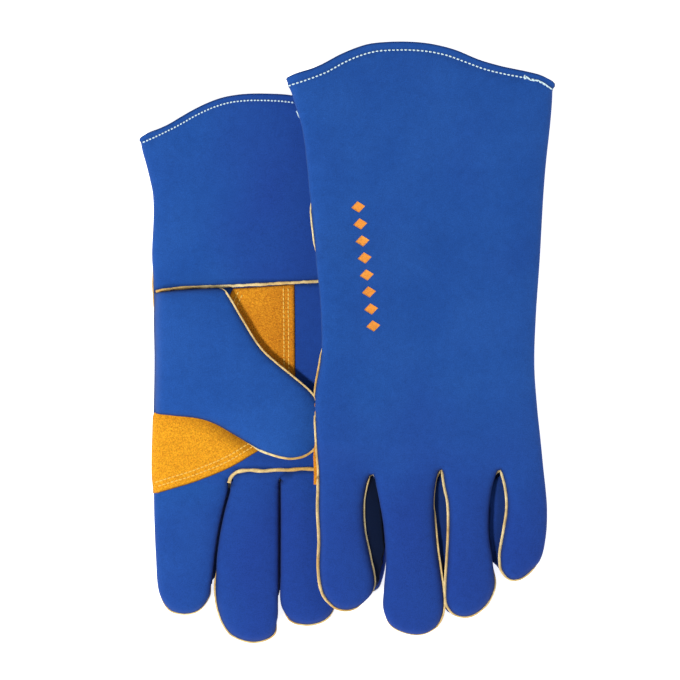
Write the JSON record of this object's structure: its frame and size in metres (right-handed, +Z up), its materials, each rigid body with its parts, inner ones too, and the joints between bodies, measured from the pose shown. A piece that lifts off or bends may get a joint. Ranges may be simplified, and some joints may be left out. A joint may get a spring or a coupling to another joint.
{
  "type": "welding gloves",
  "caption": "Pair of long lined leather welding gauntlets with welted seams and gold palm patches, laid flat with one glove leaning on the other.",
  "frame": {"origin": "centre of the pair's footprint, on the bench", "axes": "+Y from the fingertips to the cuffs, +Z up from the bench, +X towards the little-finger side of both gloves"},
  "size_m": [0.2494, 0.3596, 0.0488],
  "materials": {
    "blue_leather": "matt suede side of split cowhide, royal blue, slightly mottled",
    "gold_leather": "matt split leather, golden orange, short nap",
    "welt_leather": "cut edge of pale gold split leather",
    "cotton_lining": "unbleached brushed cotton",
    "white_thread": "twisted white sewing thread",
    "gold_thread": "twisted cream-yellow sewing thread"
  },
  "bodies": {
    "right_glove": {"right_back_panel": "blue_leather", "right_palm_panel": "blue_leather", "right_cuff_palm_panel": "blue_leather", "right_wrist_welt": "welt_leather", "right_thumb_side_welt": "welt_leather", "right_little_side_welt": "welt_leather", "right_palm_patch": "gold_leather", "right_hand_liner": "cotton_lining", "right_cuff_liner": "cotton_lining"},
    "right_index": {"right_index_back": "blue_leather", "right_index_front": "blue_leather", "right_index_welt": "welt_leather", "right_index_liner": "cotton_lining"},
    "right_middle": {"right_middle_back": "blue_leather", "right_middle_front": "blue_leather", "right_middle_welt": "welt_leather", "right_middle_liner": "cotton_lining"},
    "right_ring": {"right_ring_back": "blue_leather", "right_ring_front": "blue_leather", "right_ring_welt": "welt_leather", "right_ring_liner": "cotton_lining"},
    "right_little": {"right_little_back": "blue_leather", "right_little_front": "blue_leather", "right_little_welt": "welt_leather", "right_little_liner": "cotton_lining"},
    "right_thumb": {"right_thumb_outer": "blue_leather", "right_thumb_inner": "gold_leather", "right_thumb_welt": "welt_leather", "right_thumb_liner": "cotton_lining"},
    "left_glove": {"left_back_panel": "blue_leather", "left_palm_panel": "blue_leather", "left_cuff_palm_panel": "blue_leather", "left_wrist_welt": "welt_leather", "left_thumb_side_welt": "welt_leather", "left_little_side_welt": "welt_leather", "left_palm_patch": "gold_leather", "left_hand_liner": "cotton_lining", "left_cuff_liner": "cotton_lining"},
    "left_index": {"left_index_back": "blue_leather", "left_index_front": "blue_leather", "left_index_welt": "welt_leather", "left_index_liner": "cotton_lining"},
    "left_middle": {"left_middle_back": "blue_leather", "left_middle_front": "blue_leather", "left_middle_welt": "welt_leather", "left_middle_liner": "cotton_lining"},
    "left_ring": {"left_ring_back": "blue_leather", "left_ring_front": "blue_leather", "left_ring_welt": "welt_leather", "left_ring_liner": "cotton_lining"},
    "left_little": {"left_little_back": "blue_leather", "left_little_front": "blue_leather", "left_little_welt": "welt_leather", "left_little_liner": "cotton_lining"},
    "left_thumb": {"left_thumb_outer": "blue_leather", "left_thumb_inner": "gold_leather", "left_thumb_welt": "welt_leather", "left_thumb_liner": "cotton_lining"}
  },
  "joints": [
    {"name": "left_glove_lift", "type": "slide", "parent": "right_glove", "child": "left_glove", "axis": [0, 0, 1], "range_m": [0, 0.25]},
    {"name": "right_index_bend", "type": "hinge", "parent": "right_glove", "child": "right_index", "pos_m": [-0.09408, -0.08373, 0.014], "axis": [-1, 0, 0], "range_deg": [0, 75]},
    {"name": "right_middle_bend", "type": "hinge", "parent": "right_glove", "child": "right_middle", "pos_m": [-0.05523, -0.08373, 0.014], "axis": [-1, 0, 0], "range_deg": [0, 75]},
    {"name": "right_ring_bend", "type": "hinge", "parent": "right_glove", "child": "right_ring", "pos_m": [-0.02393, -0.08373, 0.014], "axis": [-1, 0, 0], "range_deg": [0, 60]},
    {"name": "right_little_bend", "type": "hinge", "parent": "right_glove", "child": "right_little", "pos_m": [0.00577, -0.08373, 0.014], "axis": [-1, 0, 0], "range_deg": [0, 60]},
    {"name": "left_index_bend", "type": "hinge", "parent": "left_glove", "child": "left_index", "pos_m": [-0.00173, -0.07973, 0.03499], "axis": [-0.9859, 0, 0.1676], "range_deg": [0, 55]},
    {"name": "left_middle_bend", "type": "hinge", "parent": "left_glove", "child": "left_middle", "pos_m": [0.03572, -0.07973, 0.02863], "axis": [-0.9859, 0, 0.1676], "range_deg": [0, 55]},
    {"name": "left_ring_bend", "type": "hinge", "parent": "left_glove", "child": "left_ring", "pos_m": [0.07442, -0.07973, 0.02205], "axis": [-0.9859, 0, 0.1676], "range_deg": [0, 55]},
    {"name": "left_little_bend", "type": "hinge", "parent": "left_glove", "child": "left_little", "pos_m": [0.10607, -0.07973, 0.01667], "axis": [-0.9859, 0, 0.1676], "range_deg": [0, 55]},
    {"name": "right_thumb_open", "type": "hinge", "parent": "right_glove", "child": "right_thumb", "pos_m": [-0.11243, -0.00573, 0.014], "axis": [0, -1, 0], "range_deg": [0, 110]},
    {"name": "left_thumb_open", "type": "hinge", "parent": "left_glove", "child": "left_thumb", "pos_m": [-0.01323, 0.00152, 0.03469], "axis": [0, 1, 0], "range_deg": [0, 60]}
  ],
  "couplings": [
    {"joint": "right_ring_bend", "follows": "left_glove_lift", "rad_per_m": 4.18},
    {"joint": "right_little_bend", "follows": "left_glove_lift", "rad_per_m": 4.18},
    {"joint": "right_thumb_open", "follows": "left_glove_lift", "rad_per_m": 7.67},
    {"joint": "left_thumb_open", "follows": "left_glove_lift", "rad_per_m": 4.18}
  ]
}
